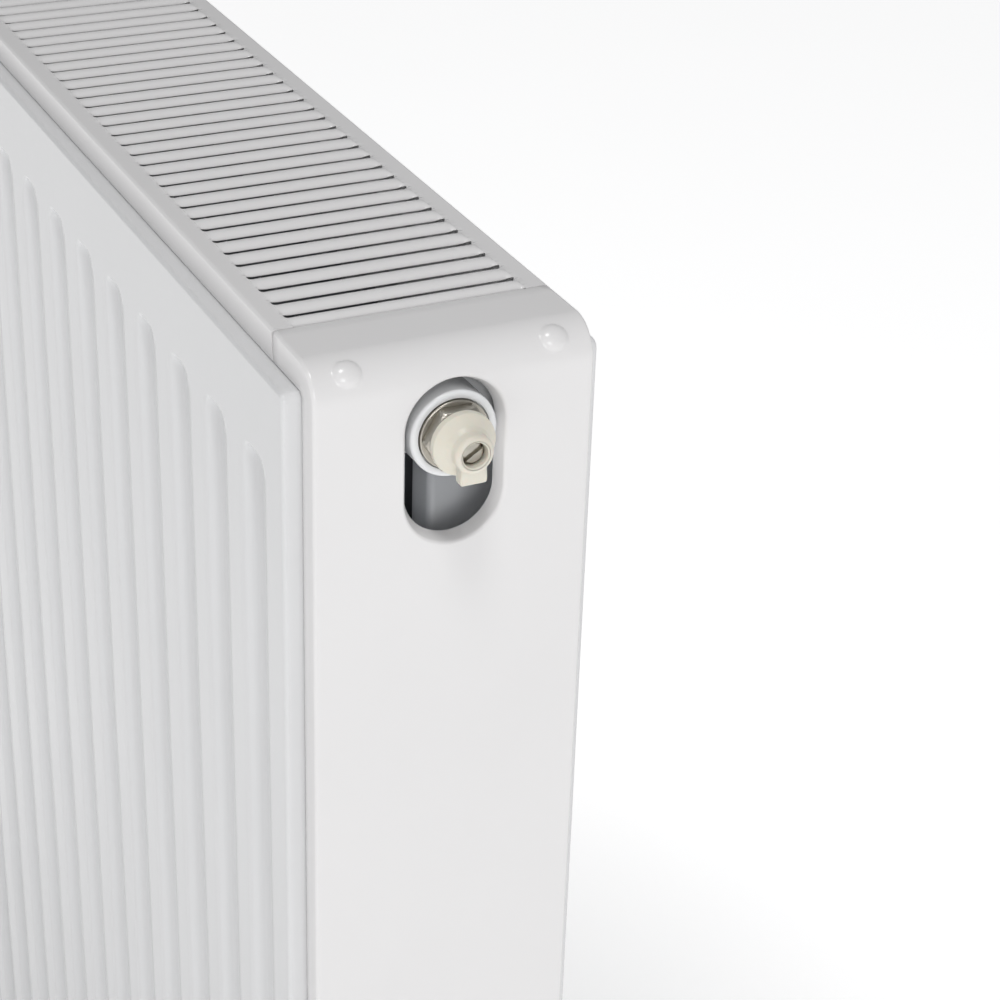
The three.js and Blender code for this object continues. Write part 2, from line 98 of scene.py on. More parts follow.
def skin(name, grids, facing=None, sheet=0.0, edge=0.0, crisp=40):
    """Joins grids of points (rows, columns, 3), in millimetres, into one mesh.

    Points in the same place become one, a quad with a side of no length becomes a triangle, and the
    faces are turned towards `facing`, or outwards where the mesh is closed. `sheet` thickens it inwards
    and `edge` softens its cut edges, both in millimetres. Turns sharper than `crisp` degrees stay crisp.
    """
    points, quads, first = [], [], 0
    for grid in grids:
        rows, columns = grid.shape[:2]
        index = first + np.arange(rows * columns).reshape(rows, columns)
        around = [index[:-1, :-1], index[1:, :-1], index[1:, 1:], index[:-1, 1:]]
        quads.append(np.stack(around, -1).reshape(-1, 4))
        points.append(grid.reshape(-1, 3))
        first += rows * columns
    points, quads = np.vstack(points) * MM, np.vstack(quads)
    places = np.round(points / SAME_PLACE)
    _, chosen, same = np.unique(places, axis=0, return_index=True, return_inverse=True)
    points, quads = points[chosen], same.reshape(-1)[quads]
    short = quads == np.roll(quads, -1, axis=1)
    whole = quads[~short.any(axis=1)]
    folded = (whole[:, 0] == whole[:, 2]) | (whole[:, 1] == whole[:, 3])
    whole = whole[~folded]
    pinched = short.sum(axis=1) == 1
    thirds = quads[pinched][~short[pinched]].reshape(-1, 3)
    thirds = thirds[(thirds != np.roll(thirds, 1, axis=1)).all(axis=1)]
    mesh = bpy.data.meshes.new(name)
    mesh.from_pydata(points.tolist(), [], whole.tolist() + thirds.tolist())
    shell = bmesh.new()
    shell.from_mesh(mesh)
    bmesh.ops.recalc_face_normals(shell, faces=shell.faces)
    shell.to_mesh(mesh)
    shell.free()
    normals, areas = np.empty(len(mesh.polygons) * 3), np.empty(len(mesh.polygons))
    mesh.polygons.foreach_get("normal", normals)
    mesh.polygons.foreach_get("area", areas)
    looks = (normals.reshape(-1, 3) * areas[:, None]).sum(axis=0)
    if facing is not None and looks @ np.array(facing, float) < 0:
        mesh.flip_normals()
    mesh.polygons.foreach_set("use_smooth", np.ones(len(mesh.polygons), bool))
    mesh.set_sharp_from_angle(angle=math.radians(crisp))
    mesh.update()
    piece = bpy.data.objects.new(name, mesh)
    bpy.context.scene.collection.objects.link(piece)
    if sheet:
        thicken = piece.modifiers.new("sheet", "SOLIDIFY")
        thicken.thickness = sheet * MM
        thicken.offset = -1
    if edge:
        soften = piece.modifiers.new("edge", "BEVEL")
        soften.width = edge * MM
        soften.segments = 2
        soften.limit_method = "ANGLE"
        soften.angle_limit = math.radians(50)
    return piece


def border(low, high, radius, across, up, steps=6):
    """Goes round a rectangle with rounded corners.

    Its straight sides have points at the places `across` and `up`; each corner is
    centre + radius * (cos a, sin a) over a quarter turn.
    """
    turn = np.linspace(0, math.pi / 2, steps + 1)
    sides = []
    for side in range(4):
        angle = turn + (side - 1) * math.pi / 2
        centre_x = (high[0] - radius, low[0] + radius)[side > 1]
        centre_z = (low[1] + radius, high[1] - radius)[side in (1, 2)]
        along = (across, up, across[::-1], up[::-1])[side]
        straight = np.empty((len(along), 2))
        straight[:, side % 2] = along
        straight[:, 1 - side % 2] = (low[1], high[0], high[1], low[0])[side]
        arc = np.array([centre_x, centre_z]) + radius * np.stack([np.cos(angle), np.sin(angle)], -1)
        sides += [straight, arc]
    return np.vstack(sides + [sides[0][:1]])


def pressed_sheet(face, rim_depth, flute_depth, edge, fillet, outward):
    """A pressed sheet as a flat with flutes and a stepped border.

    At a place `aside` of a flute's middle line and `beyond` its end point, with
    u = (aside^p + beyond^p)^(1/p) and p the squareness of the ends, the metal lies flute_depth * (1 - s)
    below the face, where s steps from 0 to 1 as u goes from the floor to the edge.
    The border turns over an edge of one radius, drops as a wall and turns out into the flat rim.
    """
    low, high = np.array([-TRAY_HALF, TRAY_LOW]), np.array([TRAY_HALF, TRAY_HIGH])
    half_flute = np.array([2.5, 5.0, 5.8, 6.6, 7.4, 8.3, 9.2, 12.6])
    over_flute = np.concatenate([-half_flute[::-1], [0], half_flute])
    middles = (np.arange(FLUTES) - (FLUTES - 1) / 2) * FLUTE_PITCH
    margin = np.array([TRAY_HALF - FACE_INSET - 4, TRAY_HALF - FACE_INSET])
    across = np.concatenate([-margin[::-1], (middles[:, None] + over_flute).ravel(), margin])
    cap = FLUTE_EDGE - FLUTE_EDGE * np.cos(np.linspace(0, math.pi / 2, 13))
    up = np.concatenate([[TRAY_LOW + FACE_INSET, 24.0, 34.0], FLUTE_LOW + cap, np.linspace(60, 540, 9),
                         (FLUTE_HIGH - cap)[::-1], [566.0, 574.0, TRAY_HIGH - FACE_INSET]])
    x, z = np.meshgrid(across, up)
    aside = (x + FLUTE_PITCH / 2) % FLUTE_PITCH - FLUTE_PITCH / 2
    centre, half_tall = (FLUTE_LOW + FLUTE_HIGH) / 2, (FLUTE_HIGH - FLUTE_LOW) / 2
    beyond = np.maximum(np.abs(z - centre) - half_tall + FLUTE_EDGE, 0)
    reach = (np.abs(aside) ** FLUTE_SQUARE + beyond ** FLUTE_SQUARE) ** (1 / FLUTE_SQUARE)
    away = (reach - FLUTE_FLOOR) / (FLUTE_EDGE - FLUTE_FLOOR)
    flat = np.stack([x, flute_depth * (1 - smooth_step(away)), z], -1)

    section = rounded([(FACE_INSET, 0, 0), (0, 0, edge), (TRAY_LEAN, rim_depth, fillet),
                       (-RIM_ASIDE, rim_depth, 0)], 6)
    loops = []
    for inset, level in section:
        out = np.clip(-inset / RIM_ASIDE, 0, 1)
        below, above = np.array([[-RIM_ASIDE, -RIM_BELOW], [RIM_ASIDE, RIM_ABOVE]]) * out
        radius = np.clip(TRAY_CORNER - inset, 0, TRAY_CORNER) + (RIM_CORNER - TRAY_CORNER) * out
        step_in = np.maximum(inset, 0)
        path = border(low + step_in + below, high - step_in + above, radius, across, up)
        loops.append(np.stack([path[:, 0], np.full(len(path), level), path[:, 1]], -1))
    return [np.stack([MIDDLE_X + grid[..., 0], face - outward * grid[..., 1], grid[..., 2]], -1)
            for grid in (flat, np.array(loops))]


class Field:
    """A value on its way between shading nodes; + - and * join it to numbers or other values."""

    def __init__(self, finish, socket):
        self.finish, self.socket = finish, socket

    def join(self, operation, first, second):
        """A Math node that joins two values."""
        return self.finish.node("ShaderNodeMath", {"operation": operation}, {0: first, 1: second})

    def __add__(self, other):
        return self.join("ADD", self, other)

    def __radd__(self, other):
        return self.join("ADD", other, self)

    def __sub__(self, other):
        return self.join("SUBTRACT", self, other)

    def __rsub__(self, other):
        return self.join("SUBTRACT", other, self)

    def __mul__(self, other):
        return self.join("MULTIPLY", self, other)

    def __rmul__(self, other):
        return self.join("MULTIPLY", other, self)


class Finish:
    """A surface finish: one material, its main shader and its nodes."""

    def __init__(self, name, **constants):
        self.material = bpy.data.materials.new(name)
        self.material.use_nodes = True
        self.tree = self.material.node_tree
        self.shader = self.tree.nodes["Principled BSDF"]
        for socket, value in constants.items():
            self.shader.inputs[socket.replace("_", " ")].default_value = value

    def node(self, kind, settings=None, sockets=None, output=0):
        """Adds a node: its settings come first, then the values or links of its sockets."""
        made = self.tree.nodes.new(kind)
        for setting, value in (settings or {}).items():
            setattr(made, setting, value)
        for socket, value in (sockets or {}).items():
            if isinstance(value, Field):
                self.tree.links.new(value.socket, made.inputs[socket])
            else:
                made.inputs[socket].default_value = value
        return Field(self, made.outputs[output])

    def feed(self, socket, value):
        """Links a value to a socket of the main shader."""
        self.tree.links.new(value.socket, self.shader.inputs[socket])

    def place(self):
        """The place on the piece, in metres."""
        return self.node("ShaderNodeTexCoord", output="Object")

    def noise(self, scale, detail=2.0):
        """Soft random blotches, `scale` of them to a metre."""
        sockets = {"Vector": self.place(), "Scale": scale, "Detail": detail}
        return self.node("ShaderNodeTexNoise", None, sockets)

    def between(self, amount, low, high):
        """The colour `low` where amount is 0 and `high` where it is 1."""
        sockets = {0: amount, 6: (*low, 1), 7: (*high, 1)}
        return self.node("ShaderNodeMix", {"data_type": "RGBA"}, sockets, output=2)

    def clamped(self, value, slope):
        """The value times the slope, kept between 0 and 1."""
        return self.node("ShaderNodeMath", {"operation": "MULTIPLY", "use_clamp": True}, {0: value, 1: slope})

    def raised(self, height, distance):
        """The surface normal over a relief: `height` times `distance`, in metres."""
        sockets = {"Strength": 1.0, "Distance": distance, "Height": height}
        return self.node("ShaderNodeBump", None, sockets)


def powder_coat(name, tint=None, peel=1.0, gloss=0.21):
    """Baked powder coat: a fine orange-peel ripple and faint cloudiness of gloss and of colour.

    Without a tint its colour is left to be fed.
    """
    coat = Finish(name, IOR=1.5)
    if tint:
        darker, lighter = (tuple(amount * c for c in tint) for amount in (0.975, 1.02))
        coat.feed("Base Color", coat.between(coat.noise(14.0, 3.0), darker, lighter))
    coat.feed("Roughness", gloss + 0.07 * coat.noise(60.0, 3.0))
    ripple = coat.noise(420.0, 1.0) + 0.35 * coat.noise(1500.0, 1.0)
    coat.feed("Normal", coat.raised(ripple, PEEL_HEIGHT * peel))
    return coat


# Painted shade: the panel white is darker than the casing's white, though both are the same coat.
panel_coat = powder_coat("panel_enamel", SHADED_PANEL_TINT).material

for side, turned in (("front", False), ("rear", True)):
    for layer, face, rim_depth, flute_depth, edge, fillet, outward in (
        ("outer", -55.0, 7.5, 3.8, 1.3, 1.3, -1),
        ("inner", -41.5, 3.3, 2.6, 1.4, 0.8, 1),
    ):
        surfaces = pressed_sheet(face, rim_depth, flute_depth, edge, fillet, outward)
        if turned:
            surfaces = [turned_round(grid) for grid in surfaces]
        facing = (0, -outward if turned else outward, 0)
        piece = skin(f"{side}_{layer}_pressing", surfaces, facing=facing, sheet=PANEL_SHEET)
        piece.data.materials.append(panel_coat)
        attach(piece, "radiator")
        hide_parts(f"{side}_panel_{layer}_sheet")

# ---------- convectors ----------
# Between the panels stand two corrugated sheets of thin steel, welded to the inner sheets by their root flats.
# They are rolled from strip, so the folds are round. Their middle is painted near black as painted shade between the
# panels, and only their outer ends show the white coat.
FIN_ROOT, FIN_CREST = 12.0, 14.0
FIN_BEND, FIN_LIP, FIN_LIP_BEND = 2.2, 1, 0.6
FIN_LOW, FIN_HIGH = 45.0, 553.0
FIN_BACK, FIN_FRONT = -41.2, -7.7
FIN_SHEET = 0.6
FIN_END = 273.7
PAINTED_SHADE_REACH, PAINTED_SHADE_FADE = 0.248, 60.0
PAINTED_SHADE_TINT, COATED_TINT = (0.10, 0.105, 0.115), (0.93, 0.95, 0.98)

bends = [(-FIN_END, FIN_BACK, 0), (-FIN_END + FIN_LIP, FIN_BACK, FIN_LIP_BEND)]
for flute in range(FLUTES):
    middle = (flute - (FLUTES - 1) / 2) * FLUTE_PITCH
    root = middle - FLUTE_PITCH / 2
    if flute:
        bends += [(root - FIN_ROOT / 2, FIN_BACK, FIN_BEND), (root + FIN_ROOT / 2, FIN_BACK, FIN_BEND)]
    bends += [(middle - FIN_CREST / 2, FIN_FRONT, FIN_BEND), (middle + FIN_CREST / 2, FIN_FRONT, FIN_BEND)]
bends += [(FIN_END - FIN_LIP, FIN_BACK, FIN_LIP_BEND), (FIN_END, FIN_BACK, 0)]
fold = rounded(bends, 5)
heights = np.linspace(FIN_LOW, FIN_HIGH, 9)
fins = np.empty((len(heights), len(fold), 3))
fins[..., 0] = MIDDLE_X + fold[:, 0]
fins[..., 1] = fold[:, 1]
fins[..., 2] = heights[:, None]

fin_finish = powder_coat("convector_enamel", peel=1.4, gloss=0.30)
# Painted shade: the fins go from near black in the middle to the white coat near their outer ends.
along = fin_finish.node("ShaderNodeSeparateXYZ", None, {0: fin_finish.place()})
from_middle = fin_finish.node("ShaderNodeMath", {"operation": "ABSOLUTE"}, {0: along - MIDDLE_X * MM})
out_of_painted_shade = fin_finish.clamped(from_middle - PAINTED_SHADE_REACH, PAINTED_SHADE_FADE)
fin_finish.feed("Base Color", fin_finish.between(out_of_painted_shade, PAINTED_SHADE_TINT, COATED_TINT))
for side, surface, back in (("front", fins, 1), ("rear", turned_round(fins), -1)):
    piece = skin(f"{side}_fins", [surface], facing=(0, back, 0), sheet=FIN_SHEET)
    piece.data.materials.append(fin_finish.material)
    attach(piece, "radiator")
    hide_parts(f"{side}_convector")

# ---------- tapping tees ----------
# At each corner a short pipe joins the two panels, and a turned steel ring with a half-inch thread faces the end.
# The rings are welded on before coating. The coat covers their rounded rims, and the top ones seat a flange.
TAPPING_TOP, TAPPING_LOW = 571.8, 28.2
RING_IN, RING_OUT, RING_R = 272.0, 299.0, 14.0
SEAT_FACE, BORE_END = 297.0, 281.5
PIPE_X, PIPE_R = 278.0, 13.0
PIPE_FRONT, PIPE_BACK = -41.3, 33.3
PIPE_FLARE, FLARE_RUN = 1.2, 1.6
THREAD_PITCH, RIDGE_STEPS = 1.814, 8


def lathed(profile, height, count=96, axis="x", at=MIDDLE_Y):
    """Turns a profile of (along, radius) about an axis: the points are (along, radius cos a, radius sin a)."""
    angle = np.linspace(0, 2 * math.pi, count + 1)
    along, radius = profile[:, :1], profile[:, 1:]
    first, second = radius * np.cos(angle), height + radius * np.sin(angle)
    along = np.broadcast_to(along, first.shape)
    if axis == "x":
        return np.stack([MIDDLE_X + along, at + first, second], -1)
    return np.stack([at + first, along, second], -1)


def thread(start, end, radius, depth):
    """A row of thread ridges as (along, radius) points, rounded as depth * |sin|."""
    along = np.linspace(start, end, int(abs(end - start) / THREAD_PITCH * RIDGE_STEPS) + 1)
    return np.stack([along, radius - depth * np.abs(np.sin((along - start) * math.pi / THREAD_PITCH))], -1)


# Each ring's profile goes over its outside and rim, into its mouth, down its thread and across the bottom of its bore.
ring_coat = powder_coat("tapping_enamel", (0.86, 0.87, 0.88), peel=0.6, gloss=0.18).material
mouths = {
    "top": [(RING_OUT, 12.0), (RING_OUT - 0.25, 11.6), (SEAT_FACE, 11.5), (SEAT_FACE, 10.75)],
    "bottom": [(RING_OUT, 11.6), (298.2, 10.8)],
}
ridges = {"top": thread(296.6, BORE_END, 10.7, 0.55), "bottom": thread(298.0, BORE_END, 10.75, 0.6)}
for end, height, rim_r in (("top", TAPPING_TOP, 11.9), ("bottom", TAPPING_LOW, 11.3)):
    outside = rounded([(RING_IN, 0, 0), (RING_IN, RING_R, 0.8), (RING_OUT, RING_R, 1.1), (RING_OUT, rim_r, 0.4)], 5)
    ring = np.vstack([outside[:-1], mouths[end], ridges[end], [(281.2, 8.0), (274.0, 7.9), (274.0, 0)]])
    pipe = rounded([(PIPE_FRONT, 0, 0), (PIPE_FRONT, PIPE_R + PIPE_FLARE, 0.6), (PIPE_FRONT + FLARE_RUN, PIPE_R, 1.2),
                    (PIPE_BACK - FLARE_RUN, PIPE_R, 1.2), (PIPE_BACK, PIPE_R + PIPE_FLARE, 0.6), (PIPE_BACK, 0, 0)], 4)
    surfaces = [lathed(ring, height), lathed(pipe, height, 64, "y", MIDDLE_X + PIPE_X)]
    for hand in ("right", "left"):
        if hand == "left":
            surfaces = [turned_round(grid) for grid in surfaces]
        piece = skin(f"{end}_{hand}_tapping", surfaces)
        piece.data.materials.append(ring_coat)
        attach(piece, "radiator")
        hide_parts(f"{end}_{hand}_tapping_tee")

# ---------- hanging lugs ----------
# Four bridges folded from 1.5 mm strip are spot-welded to the back of the rear panel; a wall hook drops behind each.
# They are coated with the panel. The weld nuggets show as shallow dimples in the feet.
LUG_X = 233.333
LUG_FEET, LUG_WEB = 48.8, 55.0
LUG_HALF, LUG_TALL, LUG_END_R = 22, 50.0, 2.0
LUG_SHEET = 1.5
WELD_ASIDE, WELD_R, WELD_DEPTH = 18.0, 2.6, 0.35

hat = rounded([(-LUG_HALF, LUG_FEET, 0), (-13.2, LUG_FEET, 1.8), (-11, LUG_WEB, 2.2),
               (11, LUG_WEB, 2.2), (13.2, LUG_FEET, 1.8), (LUG_HALF, LUG_FEET, 0)], 5)
foot = np.linspace(-LUG_HALF, -14.5, 16)
foot = np.stack([foot, np.full(len(foot), LUG_FEET)], -1)
hat = np.vstack([foot, hat[1:-1], foot[::-1] * [-1, 1]])
x, z = np.meshgrid(hat[:, 0], np.linspace(0, LUG_TALL, 61))
y = np.broadcast_to(hat[:, 1], x.shape).copy()
for weld in (10.0, 25.0, 40.0):
    away = np.hypot(np.abs(x) - WELD_ASIDE, z - weld) / WELD_R
    y -= WELD_DEPTH * (1 - smooth_step(away))
past_end = np.clip(np.maximum(LUG_END_R - z, z - (LUG_TALL - LUG_END_R)), 0, LUG_END_R)
end_round = LUG_END_R - np.sqrt(LUG_END_R ** 2 - past_end ** 2)
for level, low in (("lower", 70.0), ("upper", 480.0)):
    for hand, sign in (("right", 1), ("left", -1)):
        strip = np.stack([MIDDLE_X + sign * LUG_X + x * (1 - end_round / LUG_HALF), y, low + z], -1)
        piece = skin(f"{level}_{hand}_lug", [strip], facing=(0, 1, 0), sheet=LUG_SHEET, edge=0.3)
        piece.data.materials.append(panel_coat)
        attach(piece, "radiator")
        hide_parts(f"{level}_{hand}_hanging_lug")

# ---------- top grille ----------
# The grille is one 1 mm sheet folded down front and back. Long slots are pierced across it and the bars between
# them are pressed up into soft ridges with round ends, so each slot sits in a shallow valley. It clips on from above.
GRILLE_END = 268.4
CASING_FRONT, CASING_BACK = -49.0, 41.0
CASING_SHEET, CASING_EDGE = 1.0, 0.15
SLOTS, FIRST_SLOT = 52, -259.5
SLOT_HALF = 1.5
SLOT_FRONT, SLOT_BACK = -42.3, 33.4
TOP, SKIRT_FOOT = 600.0, 590.3
BAR_RISE, BAR_SINK, BAR_RAMP, BAR_BEND = 0.7, 1.15, 3.6, 0.92
FOLD_R = 1.2
NOTCH_DEEP, NOTCH_BELOW, NOTCH_TALL, NOTCH_ASIDE = 0.7, 1.6, 2.0, 43.6
END_WAVE = 0.8

pitch = -2 * FIRST_SLOT / (SLOTS - 1)
ramp = BAR_RAMP * (1 - np.cos(np.linspace(0, math.pi / 2, 9)))
slot_end = SLOT_HALF * (1 - np.cos(np.linspace(0, math.pi / 2, 6)))
near_end = np.unique(np.round(np.concatenate([ramp, slot_end]), 4))
flat = np.concatenate([[-45.5, -43.8], SLOT_FRONT + near_end, np.linspace(-30, 22, 6),
                       (SLOT_BACK - near_end)[::-1], [35.8, 37.6]])
fold_line = rounded([(CASING_FRONT, SKIRT_FOOT, 0), (CASING_FRONT, TOP, FOLD_R),
                     (CASING_BACK, TOP, FOLD_R), (CASING_BACK, SKIRT_FOOT, 0)], 6)
front_fold, back_fold = np.split(fold_line, 2)
y, level = np.vstack([front_fold, np.stack([flat, np.full(len(flat), TOP)], -1), back_fold]).T
from_end = np.minimum(y - SLOT_FRONT, SLOT_BACK - y)
pierced = (from_end > 0) * (level >= TOP - 1e-6)


def quarter_round(run):
    """Rises from 0 to 1 along a quarter circle: sqrt(1 - (1 - run)^2), and stays 1."""
    return np.sqrt(np.clip(1 - np.clip(1 - run, 0, 1) ** 2, 0, 1))


# Along a bar, `half` is the slot's half width beside it and `lifted` how far it has risen to its full height.
# Across a bar, `arch` is its fall from the crest to its sides.
half = SLOT_HALF * quarter_round(from_end / SLOT_HALF) * pierced
lifted = quarter_round(from_end / BAR_RAMP) * pierced
over = np.sin(np.linspace(-math.pi / 2, math.pi / 2, 11))
arch = (1 - np.sqrt(1 - (BAR_BEND * over) ** 2)) / (1 - math.sqrt(1 - BAR_BEND ** 2))
notch = NOTCH_DEEP * np.exp(-((level - TOP + NOTCH_BELOW) / NOTCH_TALL) ** 2)
notch = notch * (np.abs(y - MIDDLE_Y) > NOTCH_ASIDE) + END_WAVE * half

strips = []
for bar in range(SLOTS + 1):
    low = -GRILLE_END if bar == 0 else FIRST_SLOT + (bar - 1) * pitch
    high = GRILLE_END if bar == SLOTS else FIRST_SLOT + bar * pitch
    left = low + (notch if bar == 0 else half)
    right = high - (notch if bar == SLOTS else half)
    x = (left + right)[:, None] / 2 + over * (right - left)[:, None] / 2
    z = level[:, None] + lifted[:, None] * (BAR_RISE - (BAR_RISE + BAR_SINK) * arch)
    strips.append(np.stack([MIDDLE_X + x, np.broadcast_to(y[:, None], x.shape), z], -1))

casing_coat = powder_coat("casing_enamel", (0.84, 0.83, 0.83)).material
grille = skin("grille_sheet", strips, facing=(0, 0, 1), sheet=CASING_SHEET, edge=CASING_EDGE)
grille.data.materials.append(casing_coat)
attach(grille, "grille")
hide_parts("top_grille")

# ---------- end covers ----------
# Each cover is a 1 mm sheet rolled over the top corner, folded back round its edges and pulled on over the end.
# Long holes with a soft rolled rim clear the tappings, and two round pips in the corner snap over the panels.
COVER_START, COVER_FOOT = 268.7, 2.0
CORNER_R, CORNER_X, CORNER_Z = 12.0, 288.0, 588.0
SKIRT_TOP, SKIRT_SIDE = 9.7, 8.5
HOLE_HALF, HOLE_SPINE = 14.5, 11.0
HOLE_MIDDLES = (563.5, 36.5)
WINDOW_HALF = 19.5
ROLL_REACH, ROLL_START, ROLL_R, ROLL_DEPTH = 1.9, 2, 1.3, 4.6
PIP_ASIDE, PIP_R, PIP_PROUD, PIP_HALF = 33.0, 4.4, 1.5, 5.4
PIP_BEND, PIP_CUT = 0.96, 0.28
SEAM_DEEP, SEAM_AT, SEAM_TALL = 0.5, 1.2, 2.0

half_width = (CASING_BACK - CASING_FRONT) / 2
flat_run = CORNER_X - COVER_START
turn_run = CORNER_R * math.pi / 2
side_start = flat_run + turn_run
full_run = side_start + CORNER_Z - COVER_FOOT


def on_cover(run, aside, lift):
    """The place on the cover at `run` along its outline, `aside` from its middle and `lift` outwards.

    Along the top x grows with run, round the corner the outward direction turns by a = (run - flat_run) / R
    as (sin a, cos a), and down the side z falls with run.
    """
    a = np.clip((run - flat_run) / CORNER_R, 0, math.pi / 2)
    x = COVER_START + np.minimum(run, flat_run) + CORNER_R * np.sin(a) + lift * np.sin(a)
    z = CORNER_Z + CORNER_R * np.cos(a) - np.maximum(run - side_start, 0) + lift * np.cos(a)
    return np.stack([MIDDLE_X + x, MIDDLE_Y + aside, z], -1)


def outline(grid):
    """Goes once round the edge of a grid of points and back to its first one."""
    return np.concatenate([grid[0], grid[1:, -1], grid[-1, -2::-1], grid[-2::-1, 0]])


# Columns of points across the cover: skirt edge, fold, flat with pips and hole, fold, skirt edge.
pip_columns = np.linspace(PIP_ASIDE - PIP_HALF, PIP_ASIDE + PIP_HALF, 25)
window_columns = np.linspace(-WINDOW_HALF, WINDOW_HALF, 43)
beside = np.array([22.0, 25.0])
flat_columns = np.concatenate([[-43.6, -40.5], -pip_columns[::-1], -beside[::-1], window_columns,
                               beside, pip_columns, [40.5, 43.6]])
fold_turn = np.linspace(0, math.pi / 2, 7)
fold_aside = half_width - FOLD_R + FOLD_R * np.sin(fold_turn)
fold_depth = FOLD_R - FOLD_R * np.cos(fold_turn)
skirt_steps = np.array([1 / 3, 2 / 3, 1])
skirt_count = len(skirt_steps)
aside = np.concatenate([[-half_width] * skirt_count, -fold_aside[::-1], flat_columns,
                        fold_aside, [half_width] * skirt_count])
tucked = np.concatenate([[FOLD_R] * skirt_count, fold_depth[::-1], np.zeros(len(flat_columns)),
                         fold_depth, [FOLD_R] * skirt_count])
past = np.concatenate([skirt_steps[::-1], np.zeros(len(tucked) - 2 * skirt_count), skirt_steps])

# Rows of points along the cover: top, corner, and closer ones down each hole.
windows = []
for middle in HOLE_MIDDLES:
    centre = side_start + CORNER_Z - middle
    start, end = centre - HOLE_SPINE - WINDOW_HALF, centre + HOLE_SPINE + WINDOW_HALF
    straight = np.linspace(max(side_start, start), min(end, full_run - 3), 42)
    bent = np.linspace(start, side_start, 14)[:-1] if start < side_start else np.array([])
    windows.append((centre, np.concatenate([bent, straight])))
runs = np.concatenate([[0, 5, 10, 15], np.linspace(flat_run, windows[0][1][0], 24)[:-1], windows[0][1],
                       np.linspace(110, 530, 8), windows[1][1], [full_run - 1.2, full_run]])

run, across = np.meshgrid(runs, aside, indexing="ij")
skirt = SKIRT_TOP + (SKIRT_SIDE - SKIRT_TOP) * smooth_step((run - flat_run) / turn_run)
away = np.hypot(run - (flat_run + turn_run / 2), np.abs(across) - PIP_ASIDE) / PIP_R
dome = np.sqrt(np.clip(1 - (PIP_BEND * away) ** 2, 0.0, 1))
lift = PIP_PROUD * (dome - PIP_CUT).clip(0) / (1 - PIP_CUT) - tucked - past * (skirt - FOLD_R)
seam = SEAM_DEEP * np.exp(-((tucked + past * 6 - SEAM_AT) / SEAM_TALL) ** 2)
run = run + seam * (np.abs(across) > half_width - 1.3) * (run < 1)
cover = on_cover(run, across, lift)

surfaces = []
first_column = int(np.argmin(np.abs(aside + WINDOW_HALF)))
last_column = int(np.argmin(np.abs(aside - WINDOW_HALF)))
begin = 0
for centre, window in windows:
    top = int(np.argmin(np.abs(runs - window[0])))
    foot = int(np.argmin(np.abs(runs - window[-1])))
    surfaces += [cover[begin: top + 1], cover[top: foot + 1, : first_column + 1],
                 cover[top: foot + 1, last_column:]]
    begin = foot
    opening = np.stack(np.meshgrid(window, aside[first_column: last_column + 1], indexing="ij"), -1)
    edge_run, edge_aside = outline(opening).T
    spine = np.clip(edge_run, centre - HOLE_SPINE, centre + HOLE_SPINE)
    off = np.stack([edge_run - spine, edge_aside], -1)
    off /= np.linalg.norm(off, axis=1, keepdims=True)
    reach, depth = rounded([(ROLL_REACH + ROLL_START, 0, 0), (ROLL_REACH, 0, ROLL_R), (0, ROLL_DEPTH, 0)], 8).T
    reach, depth = HOLE_HALF + reach[:, None], np.broadcast_to(depth[:, None], (len(depth), len(spine)))
    ring_run, ring_aside = spine + off[:, 0] * reach, off[:, 1] * reach
    blend = np.array([0, 1 / 3, 2 / 3])[:, None]
    ring_run = np.vstack([edge_run + blend * (ring_run[0] - edge_run), ring_run])
    ring_aside = np.vstack([edge_aside + blend * (ring_aside[0] - edge_aside), ring_aside])
    depth = np.vstack([np.zeros((len(blend), len(spine))), depth])
    surfaces.append(on_cover(ring_run, ring_aside, -depth))
surfaces.append(cover[begin:])

for hand, sign in (("right", 1), ("left", -1)):
    shell = surfaces if hand == "right" else [turned_round(grid) for grid in surfaces]
    piece = skin(f"{hand}_cover_shell", shell, facing=(sign, 0, 0), sheet=CASING_SHEET, edge=CASING_EDGE)
    piece.data.materials.append(casing_coat)
    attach(piece, f"{hand}_cover")
    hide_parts(f"{hand}_end_cover")

# ---------- vent plug and its seal ----------
# The air vent screws into the top right tapping: a turned brass plug with a flange, a hexagon and a hollow neck.
# It is nickel plated over the turning marks, and a rubber ring in a groove behind the flange seals it.
FLANGE_R, FLANGE_IN, FLANGE_OUT = 11.2, 297.3, 299.4
SHANK_R, SHANK_END, SHANK_TIP_R = 10.3, 284.0, 9.6
GROOVE_R, GROOVE_END = 8.3, 294.7
HEX_FLATS, HEX_CORNER_R, HEX_FACE = 19.0, 10.97, 303.4
NECK_R, NECK_END = 5.2, 310.6
STEM_BORE_R, STEM_BORE_END, WATERWAY_R = 3.7, 292.0, 1.6
PLUG_SEAL_R, PLUG_SEAL_SECTION = 9.45, 0.85
NICKEL_TINT, NICKEL_STAIN = (0.56, 0.53, 0.47), 0.72
TURNING_RINGS, TURNING_HEIGHT = 21000.0, 0.0000135


